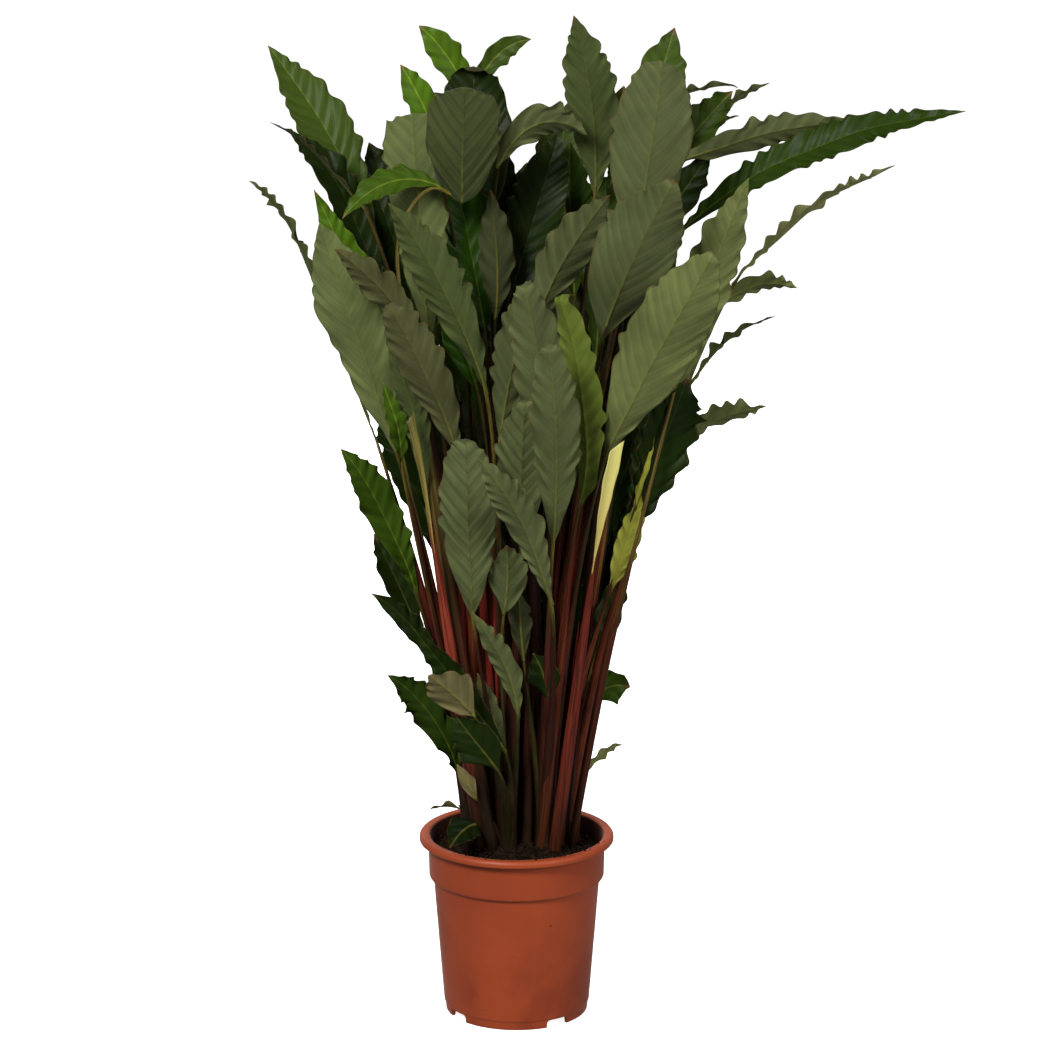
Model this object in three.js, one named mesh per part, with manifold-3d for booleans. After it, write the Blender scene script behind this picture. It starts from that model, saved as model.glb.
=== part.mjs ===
// A potted calathea of the tall, lance-leaved kind: long waved leaves on red-brown stalks that rise
// from six crowns, in a plastic nursery pot filled with peat.
// Millimetres, +Z up, +X to the right and +Y to the back. The origin is the middle of the pot's
// underside, in the plane that the pot stands on.
import * as THREE from "three";
import { mergeVertices } from "three/addons/utils/BufferGeometryUtils.js";
import Module from "manifold-3d";

const wasm = await Module();
wasm.setup();

// Pot
const potHeight = 180;
const lipRadius = 95;
const lipHeight = 7;
const neckRadius = 86.4;
const stepHeight = 137;
const bodyTopRadius = 81.2;
const bodyFootRadius = 71.4;
const wall = 1.8;
const footHeight = 9;
const footRingRadius = 70.2;
const footRingWidth = 4;
const footCount = 4;
const footGap = 24;
const footGapDepth = 20;
const footGapAngle = 35;
const bossRadius = 18;
const drainRadius = 5;
const drainSides = 12;
const drainCircle = 46;
const potSides = 30;

// Peat
const clearance = 0.35;
const peatEdgeHeight = 163;
const peatMoundHeight = 174;

// Crowns: where each one stands in the peat, and the clump that its stalks grow from. Above the peat
// the clump draws in to a core, where the stalks still sheathe each other.
const crownPlaces = [[-40, -6], [-8, -26], [27, -18], [46, 12], [-18, 26], [18, 32]];
const clumpRadius = 14;
const clumpBottom = 132;
const clumpTop = 171;
const coreRadius = 8;
const coreTop = 245;
const clumpSides = 10;
const footSpread = 12;
const spreadReach = 90;
const footDepth = 6;
const stalkFootRadius = 4.2;
const stalkTopRadius = 2.5;
const stalkSides = 4;
const stalkSteps = 3;
const footHandle = 0.3;
const footLean = 0.4;
const topHandle = 0.28;
const topHandleLimit = 60;
const joinLength = 3;

// Leaf blades
const bladeThickness = 0.8;
const halfWave = 21;
const foldAngle = THREE.MathUtils.degToRad(13);
const baseHalfWidth = 2;
const tipHalfWidth = 0.6;
const leastWaveHeight = 2.5;
const waveHeightShare = 0.07;
const fullWaveHalfWidth = 10;
const leastWaves = 4;

// One leaf in a row: its crown, the points where its blade starts, bows and ends, the blade's width,
// the compass direction that its upper face looks to (0 right, 90 back, -90 front, 180 left),
// how far that face is tilted to the sky, and the blade's twist from base to tip.
const largeLeaves = [
  // left side
  [5, [-135, 60, 760], [-180, 95, 850], [-239, 120, 934], 52, -65, 0, 0],
  [5, [-139, 25, 785], [-182, 25, 835], [-231, 15, 874], 28, 20, 40, 0],
  [5, [-116, 30, 653], [-164, 45, 790], [-218, 52, 858], 40, -60, 0, 50],
  [1, [-130, -10, 564], [-197, -15, 746], [-250, -5, 821], 42, 0, 10, 0],
  [1, [-111, -45, 564], [-150, -80, 695], [-179, -110, 798], 66, 75, 0, 0],
  [1, [-109, -5, 558], [-142, 0, 690], [-189, -15, 814], 44, -75, 0, 0],
  [1, [-93, -15, 415], [-125, -25, 508], [-166, -35, 571], 46, -60, 0, 0],
  [1, [-54, -24, 240], [-83, -36, 310], [-123, -44, 351], 36, -60, 0, 0],
  [1, [-80, -80, 664], [-120, -112, 733], [-164, -138, 778], 32, 80, 0, 0],
  [1, [-52, -75, 569], [-84, -110, 659], [-124, -130, 737], 46, 80, 0, 0],
  [1, [-87, -60, 527], [-98, -82, 614], [-122, -95, 690], 32, 80, 0, 0],
  // top, left of the middle
  [2, [-64, -36, 815], [-114, -57, 827], [-160, -75, 796], 34, -90, 55, 0],
  [5, [-82, -20, 669], [-90, -25, 832], [-103, 28, 873], 62, 85, 0, 0],
  [5, [-72, 62, 845], [-90, 66, 886], [-108, 66, 919], 36, -80, 0, 0],
  [5, [-36, 88, 880], [-63, 90, 924], [-91, 92, 952], 38, -80, 0, 0],
  [2, [-36, 20, 770], [-38, 45, 860], [-40, 62, 932], 68, -90, 0, 0],
  [2, [-46, -40, 812], [-42, -68, 876], [-32, -5, 862], 72, 90, 0, 0],
  [2, [-27, -45, 625], [-67, -70, 729], [-117, -90, 813], 46, 80, 0, 0],
  [2, [-29, -5, 674], [-44, 5, 759], [-61, 22, 832], 62, -85, 0, 0],
  [5, [-40, 12, 585], [-56, 20, 666], [-75, 25, 734], 40, -85, 0, 0],
  // middle, from the top down
  [3, [-18, -25, 836], [18, -32, 878], [66, -42, 869], 40, 90, 30, 0],
  [3, [-17, 15, 671], [15, 30, 774], [41, 50, 862], 56, -95, 0, 0],
  [6, [74, 10, 801], [71, -10, 890], [53, -40, 979], 50, 85, 0, 0],
  [3, [13, -25, 678], [46, -40, 754], [87, -55, 815], 48, 100, 0, 0],
  [2, [-16, -35, 579], [-2, -55, 660], [13, -70, 734], 42, 90, 0, 0],
  [3, [58, -78, 521], [63, -102, 625], [37, -122, 732], 38, 60, 0, 0],
  [3, [34, -95, 491], [37, -135, 600], [29, -165, 694], 46, 90, 0, 0],
  [3, [32, -42, 520], [25, -72, 637], [6, -98, 738], 50, 90, 0, 0],
  [2, [4, -55, 482], [5, -78, 555], [8, -95, 625], 50, 90, 0, 0],
  [2, [-38, -90, 426], [-43, -130, 519], [-45, -125, 578], 56, 90, 0, 0],
  [3, [34, -110, 438], [4, -155, 529], [-34, -182, 594], 36, 80, 0, 0],
  [2, [-9, -65, 281], [-51, -90, 348], [-95, -110, 414], 30, -90, 0, 0],
  [2, [2, -75, 318], [-10, -98, 373], [-41, -118, 433], 22, 80, 0, 0],
  // right side
  [4, [107, -55, 778], [127, -85, 875], [140, -30, 920], 80, 95, 0, 0],
  [6, [117, 25, 808], [132, 45, 891], [150, 65, 957], 50, -95, 0, 0],
  [3, [80, -65, 681], [106, -100, 760], [141, -130, 835], 78, 95, 0, 0],
  [3, [83, -85, 576], [131, -130, 684], [176, -165, 775], 74, 95, 0, 0],
  [4, [150, -30, 626], [179, -50, 735], [214, -70, 829], 54, 95, 0, 0],
  [4, [111, -50, 495], [136, -60, 581], [162, -58, 643], 46, -110, 0, 0],
  [4, [204, 5, 721], [273, 0, 789], [355, -5, 836], 34, 90, 75, 0],
  [4, [148, 25, 760], [264, 15, 843], [420, 0, 886], 38, -90, 40, 0],
  [6, [144, 50, 827], [224, 48, 855], [316, 45, 873], 32, 90, 20, 0],
  [6, [138, 80, 810], [173, 85, 857], [207, 90, 894], 36, -90, 20, 0],
  [6, [133, 50, 758], [156, 60, 796], [186, 65, 838], 34, -95, 0, 0],
  [4, [180, 20, 690], [226, 15, 717], [266, 10, 717], 28, 100, 40, 0],
  [4, [140, -15, 557], [187, -25, 595], [236, -35, 612], 30, 120, 30, 0],
  [4, [104, 45, 438], [123, 58, 537], [141, 64, 624], 42, -95, 0, 0],
  // back
  [5, [-60, 110, 640], [-85, 165, 750], [-110, 235, 830], 64, -90, 0, 0],
  [5, [0, 120, 600], [5, 190, 720], [10, 270, 800], 68, -90, 0, 0],
  [6, [70, 110, 620], [95, 170, 740], [120, 240, 820], 64, -100, 0, 0],
  [5, [-100, 90, 560], [-135, 130, 660], [-170, 170, 740], 56, -70, 0, 0],
  [6, [112, 90, 540], [138, 130, 630], [156, 170, 710], 56, -110, 0, 0],
];
// Leaves too small to stand alone, which stay joined to their crown's stalks
const smallLeaves = [
  [5, [-87, 20, 353], [-117, 28, 415], [-136, 38, 458], 32, -60, 0, 0],
  [1, [-81, -15, 356], [-106, -22, 402], [-136, -30, 428], 28, -60, 0, 0],
  [5, [-45, 112, 885], [-21, 114, 923], [11, 112, 939], 26, -90, 0, 0],
  [6, [56, 55, 697], [52, 62, 774], [51, 72, 849], 48, -90, 0, 0],
  [6, [92, 80, 810], [96, 85, 857], [103, 90, 899], 40, -90, 0, 0],
  [6, [121, 64, 884], [175, 54, 901], [210, 48, 902], 14, 90, 70, 0],
  [6, [177, 105, 835], [208, 105, 880], [243, 105, 900], 16, 90, 60, 0],
  [6, [160, 100, 828], [188, 100, 854], [214, 100, 869], 16, 90, 60, 0],
  [4, [156, 10, 611], [201, 10, 665], [246, 10, 690], 18, 90, 70, 0],
  [4, [117, -20, 677], [131, -22, 715], [150, -24, 749], 26, -95, 0, 0],
  [2, [-12, -85, 422], [-8, -103, 460], [-9, -118, 497], 38, 90, 0, 0],
  [2, [-39, -100, 326], [-60, -116, 353], [-82, -128, 375], 44, 80, 0, 0],
  [2, [-16, -85, 267], [-36, -95, 297], [-58, -98, 328], 46, -90, 0, 0],
  [1, [-49, -10, 209], [-67, -15, 214], [-84, -20, 214], 16, -90, 60, 0],
  [1, [-35, -30, 197], [-50, -48, 198], [-64, -68, 186], 32, -90, 50, 0],
  [4, [65, 15, 236], [82, 15, 251], [96, 15, 261], 16, 90, 60, 0],
  [4, [79, 25, 294], [94, 28, 314], [109, 30, 325], 30, 90, 0, 0],
  [4, [84, 0, 354], [96, 0, 399], [111, 0, 446], 30, 150, 0, 0],
  [3, [90, -30, 425], [101, -35, 474], [117, -38, 519], 22, 90, 0, 0],
  [6, [39, 25, 268], [31, 32, 310], [16, 40, 348], 34, -90, 0, 0],
  [3, [7, -60, 369], [4, -66, 407], [2, -70, 442], 22, 90, 0, 0],
  [2, [-10, -50, 273], [-23, -58, 316], [-37, -64, 359], 18, 90, 0, 0],
  [5, [-25, 90, 300], [-35, 130, 380], [-45, 165, 440], 38, -90, 0, 0],
  [5, [-30, 140, 480], [-45, 190, 570], [-60, 250, 630], 50, -90, 0, 0],
  [6, [45, 85, 250], [52, 125, 320], [58, 160, 370], 34, -90, 0, 0],
  [6, [50, 130, 460], [70, 185, 560], [90, 245, 620], 50, -95, 0, 0],
  [5, [-75, 75, 430], [-105, 112, 520], [-135, 140, 585], 48, -75, 0, 0],
  [6, [85, 80, 400], [112, 118, 490], [138, 145, 555], 46, -105, 0, 0],
  [5, [-2, 100, 370], [-6, 152, 460], [-10, 195, 520], 50, -90, 0, 0],
  [6, [32, 100, 690], [40, 140, 795], [50, 178, 870], 56, -90, 0, 0],
  [5, [-48, 112, 700], [-58, 150, 800], [-70, 185, 880], 56, -85, 0, 0],
  [5, [-98, 85, 696], [-117, 110, 790], [-136, 128, 850], 46, -80, 0, 0],
  [5, [-5, 60, 640], [-5, 85, 740], [3, 110, 815], 52, -90, 0, 0],
  [6, [75, 20, 640], [82, 30, 740], [85, 40, 815], 46, -90, 0, 0],
];

const finishes = {
  terracottaPlastic: new THREE.MeshStandardMaterial({ color: 0xb5623c, roughness: 0.5, metalness: 0 }),
  peat: new THREE.MeshStandardMaterial({ color: 0x2a1c14, roughness: 0.95, metalness: 0 }),
  stalk: new THREE.MeshStandardMaterial({ color: 0x6b3524, roughness: 0.5, metalness: 0 }),
  leaf: new THREE.MeshStandardMaterial({ color: 0x3c5526, roughness: 0.4, metalness: 0 }),
};

const plant = new THREE.Group();

function addPiece(name, geometry, finish) {
  const piece = new THREE.Mesh(geometry, finish);
  piece.name = name;
  plant.add(piece);
}

// Turn a closed geometry into a solid that can be joined and cut
function solidFrom(geometry) {
  const bare = geometry.clone();
  bare.deleteAttribute("normal");
  bare.deleteAttribute("uv");
  const merged = mergeVertices(bare, 1e-4);
  return new wasm.Manifold(new wasm.Mesh({
    numProp: 3,
    vertProperties: new Float32Array(merged.attributes.position.array),
    triVerts: new Uint32Array(merged.index.array),
  }));
}

function geometryFrom(solid) {
  const mesh = solid.getMesh();
  const geometry = new THREE.BufferGeometry();
  geometry.setAttribute("position", new THREE.BufferAttribute(mesh.vertProperties, 3));
  geometry.setIndex(new THREE.BufferAttribute(mesh.triVerts, 1));
  return geometry;
}

// Turn an outline of radius and height about the Z axis
function turned(outline, sides) {
  const points = outline.map(([radius, height]) => new THREE.Vector2(radius, height));
  return new THREE.LatheGeometry(points, sides).rotateX(Math.PI / 2);
}

function upright(radius, low, high, x, y, sides) {
  const geometry = new THREE.CylinderGeometry(radius, radius, high - low, sides);
  return geometry.rotateX(Math.PI / 2).translate(x, y, (low + high) / 2);
}

function indexed(vertices, triangles) {
  const geometry = new THREE.BufferGeometry();
  geometry.setAttribute("position", new THREE.Float32BufferAttribute(vertices.flatMap((v) => v.toArray()), 3));
  geometry.setIndex(triangles);
  return geometry;
}

// The blade's midrib is a plain arc through its three points
function midribOf([, base, middle, tip]) {
  const start = new THREE.Vector3(...base);
  const end = new THREE.Vector3(...tip);
  const bow = new THREE.Vector3(...middle).multiplyScalar(2).addScaledVector(start.clone().add(end), -0.5);
  return new THREE.QuadraticBezierCurve3(start, bow, end);
}

// A lance-shaped outline that is widest a little past its middle, where it is 1
function lanceWidth(t) {
  return Math.sin(Math.PI * t ** 1.2) ** 0.85;
}

// A blade is a thin ribbon along its midrib, folded up a little on both sides of it, with its two
// edges waved up and down in turn. Both faces are split into the same triangles.
function blade(leaf) {
  const [, , , , width, facing, tilt, twist] = leaf;
  const midrib = midribOf(leaf);
  const waves = Math.max(leastWaves, Math.round(midrib.getLength() / halfWave));
  const waveHeight = leastWaveHeight + waveHeightShare * width;
  const bearing = THREE.MathUtils.degToRad(facing);
  const sky = THREE.MathUtils.degToRad(tilt);
  const upperSide = new THREE.Vector3(
    Math.cos(bearing) * Math.cos(sky),
    Math.sin(bearing) * Math.cos(sky),
    Math.sin(sky),
  );
  const vertices = [];
  for (let i = 0; i <= waves; i++) {
    const t = i / waves;
    const centre = midrib.getPoint(t);
    const along = midrib.getTangent(t);
    const up = upperSide.clone().addScaledVector(along, -upperSide.dot(along)).normalize();
    up.applyAxisAngle(along, THREE.MathUtils.degToRad(twist * (t - 0.5)));
    const across = new THREE.Vector3().crossVectors(along, up);
    const least = THREE.MathUtils.lerp(baseHalfWidth, tipHalfWidth, t);
    const half = Math.max(least, (width / 2) * lanceWidth(t));
    const wave = waveHeight * Math.min(1, half / fullWaveHalfWidth) * (i % 2 ? -1 : 1);
    const rim = (side) => centre.clone()
      .addScaledVector(across, side * half * Math.cos(foldAngle))
      .addScaledVector(up, half * Math.sin(foldAngle) + (i % waves ? side * wave : 0));
    const upperFace = [rim(-1), centre, rim(1)].map((p) => p.clone().addScaledVector(up, bladeThickness / 2));
    const lowerFace = [rim(1), centre, rim(-1)].map((p) => p.clone().addScaledVector(up, -bladeThickness / 2));
    vertices.push(...upperFace, ...lowerFace);
  }
  const triangles = [];
  for (let i = 0; i < waves; i++) {
    for (let k = 0; k < 6; k++) {
      const a = 6 * i + k;
      const b = 6 * i + (k + 1) % 6;
      const c = b + 6;
      const d = a + 6;
      if (k < 3) triangles.push(a, b, c, a, c, d);
      else triangles.push(a, b, d, b, c, d);
    }
  }
  const last = 6 * waves;
  triangles.push(0, 5, 4, 0, 4, 1, 1, 4, 3, 1, 3, 2);
  triangles.push(last, last + 1, last + 4, last, last + 4, last + 5);
  triangles.push(last + 1, last + 2, last + 3, last + 1, last + 3, last + 4);
  return indexed(vertices, triangles);
}

// A stalk leaves its crown steeply, leans out to its blade and meets it in line with the midrib. It
// tapers. `reach` is how far its end goes past the blade's base, or stops short of it.
function stalk(leaf, reach) {
  const [crown, base] = leaf;
  const [x, y] = crownPlaces[crown - 1];
  const lean = new THREE.Vector3(base[0] - x, base[1] - y, 0);
  lean.setLength((footSpread * lean.length()) / (lean.length() + spreadReach));
  const foot = new THREE.Vector3(x, y, clumpTop - footDepth).add(lean);
  const outward = midribOf(leaf).getTangent(0);
  const top = new THREE.Vector3(...base).addScaledVector(outward, reach);
  const length = foot.distanceTo(top);
  const straight = top.clone().sub(foot).multiplyScalar(footHandle);
  const rise = new THREE.Vector3(0, 0, footHandle * length).lerp(straight, footLean);
  const path = new THREE.CubicBezierCurve3(
    foot,
    foot.clone().add(rise),
    top.clone().addScaledVector(outward, -Math.min(topHandle * length, topHandleLimit)),
    top,
  );
  const vertices = [];
  for (let i = 0; i <= stalkSteps; i++) {
    const t = i / stalkSteps;
    const centre = path.getPoint(t);
    const along = path.getTangent(t);
    const side = new THREE.Vector3(1, 0, 0).addScaledVector(along, -along.x).normalize();
    const back = new THREE.Vector3().crossVectors(along, side);
    const radius = THREE.MathUtils.lerp(stalkFootRadius, stalkTopRadius, t);
    for (let k = 0; k < stalkSides; k++) {
      const turn = (2 * Math.PI * k) / stalkSides;
      vertices.push(centre.clone()
        .addScaledVector(side, radius * Math.cos(turn))
        .addScaledVector(back, radius * Math.sin(turn)));
    }
  }
  const triangles = [];
  for (let i = 0; i < stalkSteps; i++) {
    for (let k = 0; k < stalkSides; k++) {
      const a = stalkSides * i + k;
      const b = stalkSides * i + (k + 1) % stalkSides;
      triangles.push(a, b, b + stalkSides, a, b + stalkSides, a + stalkSides);
    }
  }
  const last = stalkSides * stalkSteps;
  for (let k = 1; k < stalkSides - 1; k++) {
    triangles.push(0, k + 1, k, last, last + k, last + k + 1);
  }
  return indexed(vertices, triangles);
}

// The pot is one turned shell with its foot ring cut through at four places and drains in its floor
function makePot() {
  const outline = [
    [0, 0],
    [bossRadius, 0],
    [bossRadius + 1.5, footHeight - 1],
    [footRingRadius - footRingWidth - 1.5, footHeight - 1],
    [footRingRadius - footRingWidth, 0],
    [footRingRadius - 0.6, 0],
    [footRingRadius + 0.4, footHeight - 0.6],
    [bodyFootRadius, footHeight + 0.4],
    [bodyTopRadius, stepHeight - 3],
    [bodyTopRadius + 1.2, stepHeight - 0.8],
    [neckRadius - 1.4, stepHeight],
    [neckRadius - 0.8, stepHeight + 1.4],
    [neckRadius, potHeight - lipHeight],
    [lipRadius - 0.8, potHeight - lipHeight],
    [lipRadius, potHeight - lipHeight + 0.8],
    [lipRadius, potHeight - 2.4],
    [lipRadius - 1.8, potHeight - 0.3],
    [lipRadius - 4, potHeight],
    [neckRadius - wall + 1.5, potHeight - 0.4],
    [neckRadius - wall, potHeight - 2],
    [neckRadius - wall - 0.8, stepHeight + 1.4],
    [bodyTopRadius - wall, stepHeight - 3],
    [bodyFootRadius - wall, footHeight + wall + 1],
    [0, footHeight + wall],
  ];
  let pot = solidFrom(turned(outline, potSides));
  for (let foot = 0; foot < footCount; foot++) {
    const turn = THREE.MathUtils.degToRad(footGapAngle) + (2 * Math.PI * foot) / footCount;
    const gap = new THREE.BoxGeometry(footGapDepth, footGap, 2 * (footHeight - 1));
    gap.translate(footRingRadius, 0, 0).rotateZ(turn);
    pot = pot.subtract(solidFrom(gap));
    const drain = upright(drainRadius, 0.5 * footHeight, 2 * footHeight, drainCircle, 0, drainSides);
    drain.rotateZ(turn + Math.PI / footCount);
    pot = pot.subtract(solidFrom(drain));
  }
  return geometryFrom(pot);
}

// The peat fills the pot to its floor, rises to a low mound, and has a plain hole for each crown
function makePeat() {
  const inset = wall + clearance;
  const outline = [
    [0, footHeight + inset],
    [bodyFootRadius - inset, footHeight + inset + 1],
    [bodyTopRadius - inset, stepHeight - 3],
    [neckRadius - inset - 0.8, stepHeight + 2.5],
    [neckRadius - inset - 0.4, peatEdgeHeight],
    [0.75 * neckRadius, peatEdgeHeight + 2],
    [0.5 * neckRadius, peatMoundHeight - 4],
    [0.25 * neckRadius, peatMoundHeight],
    [0, peatMoundHeight],
  ];
  let peat = solidFrom(turned(outline, potSides));
  for (const [x, y] of crownPlaces) {
    const hole = upright(clumpRadius + clearance, clumpBottom - clearance, potHeight, x, y, clumpSides);
    peat = peat.subtract(solidFrom(hole));
  }
  return geometryFrom(peat);
}

// A crown is the clump in the peat with every stalk that grows from it, and its smallest leaves
function makeCrown(number) {
  const [x, y] = crownPlaces[number - 1];
  const clump = turned([
    [0, clumpBottom],
    [clumpRadius, clumpBottom],
    [clumpRadius, clumpTop],
    [coreRadius, coreTop],
    [0, coreTop],
  ], clumpSides);
  let crown = solidFrom(clump.translate(x, y, 0));
  for (const leaf of largeLeaves.filter(([owner]) => owner === number)) {
    crown = crown.add(solidFrom(stalk(leaf, -clearance)));
  }
  for (const leaf of smallLeaves.filter(([owner]) => owner === number)) {
    crown = crown.add(solidFrom(stalk(leaf, joinLength))).add(solidFrom(blade(leaf)));
  }
  return geometryFrom(crown);
}

addPiece("pot", makePot(), finishes.terracottaPlastic);
addPiece("soil", makePeat(), finishes.peat);
crownPlaces.forEach((place, i) => addPiece(`crown_${i + 1}_stalks`, makeCrown(i + 1), finishes.stalk));
largeLeaves.forEach((leaf, i) => {
  addPiece(`leaf_${String(i + 1).padStart(2, "0")}`, blade(leaf), finishes.leaf);
});

export default plant;
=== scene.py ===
from collections import namedtuple

import bpy
import numpy as np
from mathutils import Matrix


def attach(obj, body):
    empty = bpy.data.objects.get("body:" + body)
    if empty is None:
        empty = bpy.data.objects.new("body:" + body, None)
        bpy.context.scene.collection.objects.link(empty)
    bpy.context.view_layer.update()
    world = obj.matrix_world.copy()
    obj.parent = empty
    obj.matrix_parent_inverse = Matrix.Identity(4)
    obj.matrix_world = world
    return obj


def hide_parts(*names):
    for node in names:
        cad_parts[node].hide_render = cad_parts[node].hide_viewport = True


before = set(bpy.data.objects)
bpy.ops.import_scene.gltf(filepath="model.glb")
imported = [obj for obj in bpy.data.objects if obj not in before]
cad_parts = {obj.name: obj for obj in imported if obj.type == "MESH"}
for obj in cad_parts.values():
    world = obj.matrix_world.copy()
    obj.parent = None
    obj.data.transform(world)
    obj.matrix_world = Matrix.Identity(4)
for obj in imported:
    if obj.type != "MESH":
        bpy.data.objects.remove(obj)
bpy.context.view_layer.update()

# Studio
# A potted calathea stands on a wide, plain, pale floor, with a pale wall far round it, under soft
# light. The camera stands a little above the plant's top, 3.5 m in front of the pot, and looks
# slightly down.
MM = 0.001
LOOK_DOWN = 13.46
scene = bpy.context.scene
scene.view_settings.view_transform = "Standard"

camera_data = bpy.data.cameras.new("camera")
camera_data.lens = 128.64
camera_data.sensor_width = 36
camera_data.clip_end = 60
camera = bpy.data.objects.new("camera", camera_data)
camera.location = (0.00826, -3.5, 1.326)
camera.rotation_euler = (np.radians(90 - LOOK_DOWN), 0, 0)
scene.collection.objects.link(camera)
scene.camera = camera


def linear(red, green, blue):
    """A colour given as 0 to 255 screen values, in linear light: ((c / 255 + 0.055) / 1.055) ^ 2.4
    above 10, and c / 255 / 12.92 below."""
    screen = np.array([red, green, blue]) / 255
    light = np.where(screen > 0.04, ((screen + 0.055) / 1.055) ** 2.4, screen / 12.92)
    return tuple(float(part) for part in light)


class Value:
    """A socket of a finish's nodes. Sums on it add Math nodes."""

    def __init__(self, finish, socket):
        self.finish = finish
        self.socket = socket

    def math(self, operation, *numbers):
        return self.finish.add("ShaderNodeMath", {"operation": operation}, dict(enumerate(numbers)))

    def __add__(self, other):
        return self.math("ADD", self, other)

    def __sub__(self, other):
        return self.math("SUBTRACT", self, other)

    def __rsub__(self, other):
        return self.math("SUBTRACT", other, self)

    def __mul__(self, other):
        return self.math("MULTIPLY", self, other)

    def __pow__(self, other):
        return self.math("POWER", self, other)

    __radd__ = __add__
    __rmul__ = __mul__

    def step(self, low, high):
        """0 below low, 1 above high, and a smooth rise between them."""
        settings = {"interpolation_type": "SMOOTHSTEP"}
        return self.finish.add("ShaderNodeMapRange", settings, {0: self, 1: low, 2: high})

    def ridge(self, spacing, sharpness):
        """1 on every whole multiple of the spacing and 0 between: (0.5 + 0.5 cos(2 pi v / spacing)) ^
        sharpness."""
        return (self.math("COSINE", self * (2 * np.pi / spacing)) * 0.5 + 0.5) ** sharpness

    def parts(self):
        """The three numbers of a vector."""
        split = self.finish.add("ShaderNodeSeparateXYZ", {}, {0: self}).socket.node
        return [Value(self.finish, socket) for socket in split.outputs]


class Finish:
    """One material: a Principled shader with fixed numbers on its own sockets, and nodes that vary
    its colour, its roughness and its relief."""

    def __init__(self, name, **fixed):
        self.material = bpy.data.materials.new(name)
        self.material.use_nodes = True
        self.nodes = self.material.node_tree.nodes
        self.links = self.material.node_tree.links
        self.shader = self.nodes["Principled BSDF"]
        for socket, number in fixed.items():
            self.feed(self.shader.inputs[socket.replace("_", " ")], number)

    def feed(self, socket, value):
        if isinstance(value, Value):
            self.links.new(value.socket, socket)
        elif isinstance(value, tuple) and socket.type == "RGBA":
            socket.default_value = (*value, 1)
        else:
            socket.default_value = value

    def add(self, kind, settings, sockets, output=0):
        """Any node: its settings first, then the values or links of its sockets."""
        node = self.nodes.new(kind)
        for setting, choice in settings.items():
            if setting == "stops":
                ramp = node.color_ramp.elements
                while len(ramp) < len(choice):
                    ramp.new(0.5)
                for stop, (place, colour) in zip(ramp, choice):
                    stop.position = place
                    stop.color = (*colour, 1)
            else:
                setattr(node, setting, choice)
        for socket, value in sockets.items():
            self.feed(node.inputs[socket], value)
        return Value(self, node.outputs[output])

    def place(self):
        return self.add("ShaderNodeTexCoord", {}, {}, output="Object")

    def mark(self, name):
        return self.add("ShaderNodeAttribute", {"attribute_name": name}, {}, output="Vector")

    def stretched(self, vector, factors):
        return self.add("ShaderNodeVectorMath", {"operation": "MULTIPLY"}, {0: vector, 1: factors})

    def noise(self, vector, scale, detail=3, roughness=0.55):
        sockets = {"Vector": vector, "Scale": scale, "Detail": detail, "Roughness": roughness}
        return self.add("ShaderNodeTexNoise", {}, sockets)

    def mixed(self, factor, first, second, way="MIX"):
        """A mix of two colours, whose sockets are inputs 6 and 7 and output 2 of a Mix node."""
        settings = {"data_type": "RGBA", "blend_type": way}
        return self.add("ShaderNodeMix", settings, {0: factor, 6: first, 7: second}, output=2)

    def ramp(self, factor, *stops):
        return self.add("ShaderNodeValToRGB", {"stops": stops}, {0: factor})

    def relief(self, height, depth):
        """Raise the surface by depth, in metres, where height is 1."""
        bump = self.add("ShaderNodeBump", {}, {"Height": height, "Distance": depth})
        self.feed(self.shader.inputs["Normal"], bump)

    def vary(self, socket, value):
        self.feed(self.shader.inputs[socket], value)


def grid_quads(rows, columns, around=False):
    """Corner numbers of the squares of a grid of points, counted along its rows. Where the grid goes
    around, its last column joins its first."""
    row = np.arange(rows - 1)[:, None] * columns
    here = np.arange(columns if around else columns - 1)[None, :]
    there = (here + 1) % columns
    quads = [row + here, row + there, row + columns + there, row + columns + here]
    return np.stack(quads, axis=-1).reshape(-1, 4)


def make_mesh(name, finishes, points, faces, marks=None, kinds=None):
    """A smooth mesh object from points in millimetres and a list of arrays of corner numbers. marks
    are vectors or colours at its points, and kinds is the finish of each face."""
    mesh = bpy.data.meshes.new(name)
    corners = np.concatenate([part.ravel() for part in faces])
    sizes = np.concatenate([np.full(len(part), part.shape[1]) for part in faces])
    mesh.vertices.add(len(points))
    mesh.loops.add(len(corners))
    mesh.polygons.add(len(sizes))
    mesh.vertices.foreach_set("co", (np.asarray(points) * MM).astype(np.float32).ravel())
    mesh.loops.foreach_set("vertex_index", corners.astype(np.int32))
    mesh.polygons.foreach_set("loop_start", (np.cumsum(sizes) - sizes).astype(np.int32))
    if kinds is not None:
        mesh.polygons.foreach_set("material_index", kinds.astype(np.int32))
    mesh.update(calc_edges=True)
    mesh.shade_smooth()
    for mark, values in (marks or {}).items():
        layer = mesh.attributes.new(mark, "FLOAT_VECTOR", "POINT")
        layer.data.foreach_set("vector", values.astype(np.float32).ravel())
    for finish in finishes:
        mesh.materials.append(finish.material)
    thing = bpy.data.objects.new(name, mesh)
    scene.collection.objects.link(thing)
    return thing


def stand_in(piece, slot, *nodes):
    """Every piece rides with the pot and stands for its plain solids. The slot is not used."""
    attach(piece, "root")
    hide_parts(*nodes)


def full_turn(sides):
    """The angles of equal steps round a circle."""
    return np.linspace(0, 2 * np.pi, sides, endpoint=False)


def ring(radius, turn, height=0):
    """Points about the pot's upright axis: (radius cos turn, radius sin turn, height)."""
    return np.stack(np.broadcast_arrays(radius * np.cos(turn), radius * np.sin(turn), height), axis=-1)


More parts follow.
